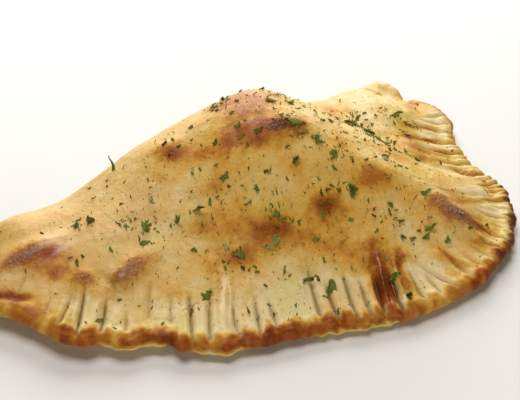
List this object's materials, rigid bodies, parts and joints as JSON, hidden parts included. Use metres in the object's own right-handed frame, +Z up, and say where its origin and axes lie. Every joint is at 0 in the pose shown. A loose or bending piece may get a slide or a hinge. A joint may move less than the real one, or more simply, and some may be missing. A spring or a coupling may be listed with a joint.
{
  "type": "calzone",
  "caption": "Baked calzone: a folded round of dough with a fork-sealed rim, browned blisters and a scatter of dried herbs.",
  "frame": {"origin": "on the table under the middle of the calzone's box", "axes": "+X along the fold towards the end with the pale tab, -Y towards the sealed front rim, +Z up"},
  "size_m": [0.2254, 0.1279, 0.0458],
  "materials": {
    "crust": "baked dough with a thin sheen of oil"
  },
  "bodies": {
    "root": {"calzone": "crust"}
  },
  "joints": []
}
